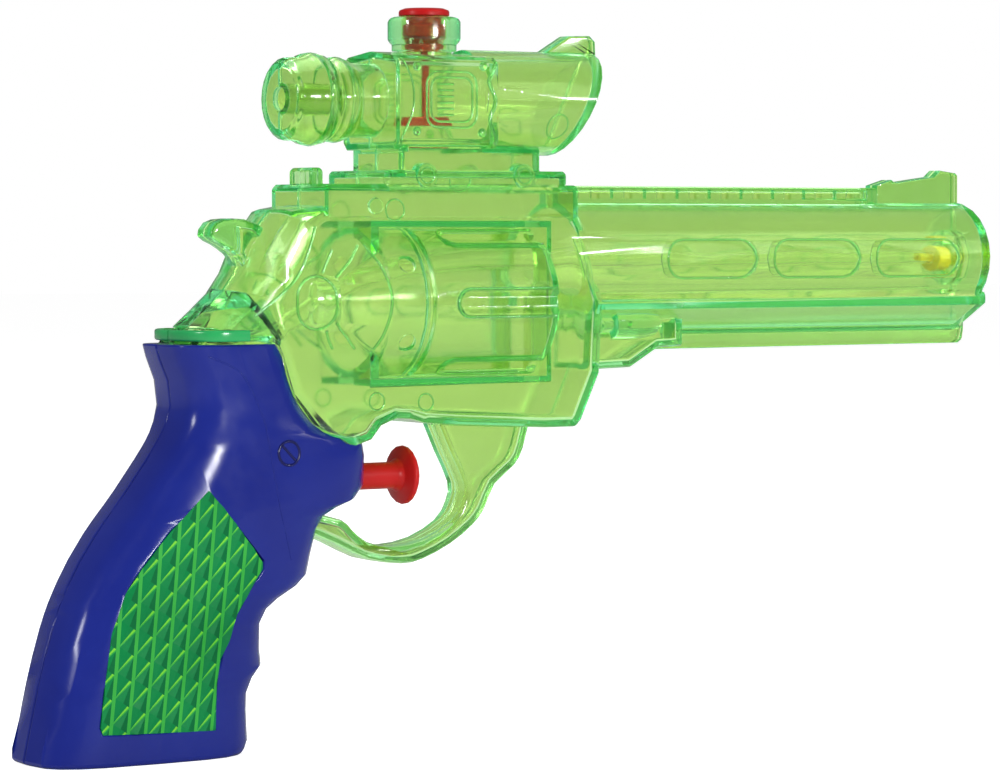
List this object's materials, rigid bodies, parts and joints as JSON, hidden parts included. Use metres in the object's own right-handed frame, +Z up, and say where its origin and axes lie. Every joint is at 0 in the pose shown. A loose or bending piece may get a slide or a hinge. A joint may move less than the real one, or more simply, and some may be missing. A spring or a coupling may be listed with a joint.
{
  "type": "toy water pistol",
  "caption": "Toy water pistol shaped like a scoped revolver: clear green shell, blue grip covers, red push-button pump trigger and red filler plug",
  "frame": {"origin": "middle of the box round the gun, on the plane of the flat butt", "axes": "+X along the barrel to the muzzle, +Y to the gun's left, +Z up; the gun stands upright with its barrel level"},
  "size_m": [0.2798, 0.0384, 0.1793],
  "materials": {
    "clear_green": "clear tinted gloss",
    "gloss_blue": "gloss",
    "red_plastic": "satin",
    "amber_plastic": "gloss",
    "white_plastic": "satin",
    "black_rubber": "matte",
    "spring_steel": "bright",
    "clear_tube": "clear"
  },
  "bodies": {
    "body": {"body_right": "clear_green", "body_left": "clear_green", "grip_cover_right": "gloss_blue", "grip_cover_left": "gloss_blue", "filler_collar": "clear_green", "return_spring": "spring_steel", "pump_cylinder": "white_plastic", "plunger_guide": "white_plastic", "guide_seal": "black_rubber", "valve_block": "white_plastic", "inlet_seat": "white_plastic", "outlet_spigot": "white_plastic", "pickup_tube": "clear_tube", "outlet_tube": "clear_tube", "nozzle": "amber_plastic"},
    "trigger": {"trigger_plunger": "red_plastic", "piston_cup": "black_rubber"},
    "plug": {"filler_plug": "red_plastic"},
    "lower_ball": {"inlet_ball": "spring_steel"},
    "upper_ball": {"outlet_ball": "spring_steel"}
  },
  "joints": [
    {"name": "trigger_slide", "type": "slide", "parent": "body", "child": "trigger", "axis": [-1, 0, 0], "range_m": [0, 0.012], "stiffness_N_per_m": 300, "deforming": ["return_spring"]},
    {"name": "plug_pull", "type": "slide", "parent": "body", "child": "plug", "axis": [0, 0, 1], "range_m": [0, 0.012]},
    {"name": "inlet_ball_lift", "type": "slide", "parent": "body", "child": "lower_ball", "axis": [0, 0, 1], "range_m": [0, 0.0012]},
    {"name": "outlet_ball_lift", "type": "slide", "parent": "body", "child": "upper_ball", "axis": [0, 0, 1], "range_m": [0, 0.0012]}
  ]
}
